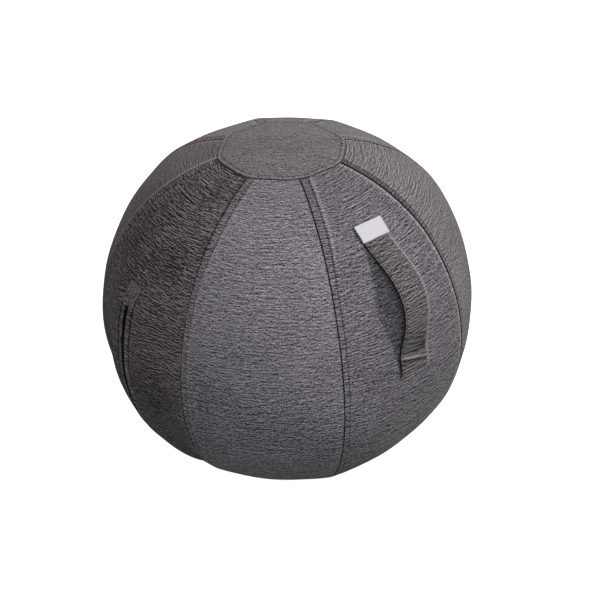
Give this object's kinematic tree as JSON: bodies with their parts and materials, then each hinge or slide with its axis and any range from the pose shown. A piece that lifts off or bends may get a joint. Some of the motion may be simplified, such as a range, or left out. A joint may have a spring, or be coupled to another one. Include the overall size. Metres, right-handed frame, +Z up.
{
  "type": "sitting ball",
  "caption": "Round fabric-covered sitting ball with sewn gores, an octagonal cap, a zip down one side, a bowed carrying handle and a flat foot over an inflated inner ball.",
  "frame": {"origin": "on the floor under the centre of the ball, at the middle of the flat foot", "axes": "+Z up, +X towards the handle, -Y towards the zip"},
  "size_m": [0.6411, 0.6495, 0.593],
  "materials": {
    "cover_fabric": "heathered charcoal chenille upholstery cloth",
    "strap_fabric": "same cloth folded into a stitched strap",
    "label_fabric": "blank white woven label",
    "foot_fabric": "coated black canvas",
    "foam": "dense dark foam",
    "vinyl": "smooth soft vinyl",
    "valve_plastic": "plain moulded plastic",
    "zip_tape": "black woven tape",
    "zip_nylon": "black nylon coil",
    "zip_metal": "dark lacquered zinc"
  },
  "bodies": {
    "ball": {"gore_1_zip": "cover_fabric", "gore_2_front": "cover_fabric", "gore_3_handle": "cover_fabric", "gore_4": "cover_fabric", "gore_5": "cover_fabric", "gore_6": "cover_fabric", "gore_7": "cover_fabric", "gore_8": "cover_fabric", "top_cap": "cover_fabric", "zip_end_patch": "cover_fabric", "handle_upper_end": "strap_fabric", "handle_lower_end": "strap_fabric", "handle_label": "label_fabric", "bottom_panel": "foot_fabric", "foot_ring": "foam", "inner_ball": "vinyl", "valve_seat": "valve_plastic", "valve_plug": "valve_plastic", "zip_tape_left": "zip_tape", "zip_tape_right": "zip_tape", "zip_coil_left": "zip_nylon", "zip_coil_right": "zip_nylon", "zip_top_stop": "zip_metal", "zip_bottom_stop": "zip_metal"},
    "zip_slider": {"zip_slider": "zip_metal"},
    "pull_tab": {"zip_pull_tab": "zip_metal"},
    "handle": {"handle_grip": "strap_fabric"}
  },
  "joints": [
    {"name": "zip_slide", "type": "hinge", "parent": "ball", "child": "zip_slider", "pos_m": [0, 0, 0.292], "axis": [-1, 0, 0], "range_deg": [0, 59.5]},
    {"name": "pull_tab_swing", "type": "hinge", "parent": "zip_slider", "child": "pull_tab", "pos_m": [0, -0.25766, 0.08311], "axis": [-1, 0, 0], "range_deg": [-1, 169]},
    {"name": "handle_sway", "type": "hinge", "parent": "ball", "child": "handle", "pos_m": [0.31591, 0, 0.39998], "axis": [-0.4794, 0, 0.8776], "range_deg": [-20, 20], "stiffness_Nm_per_rad": 0.15}
  ]
}
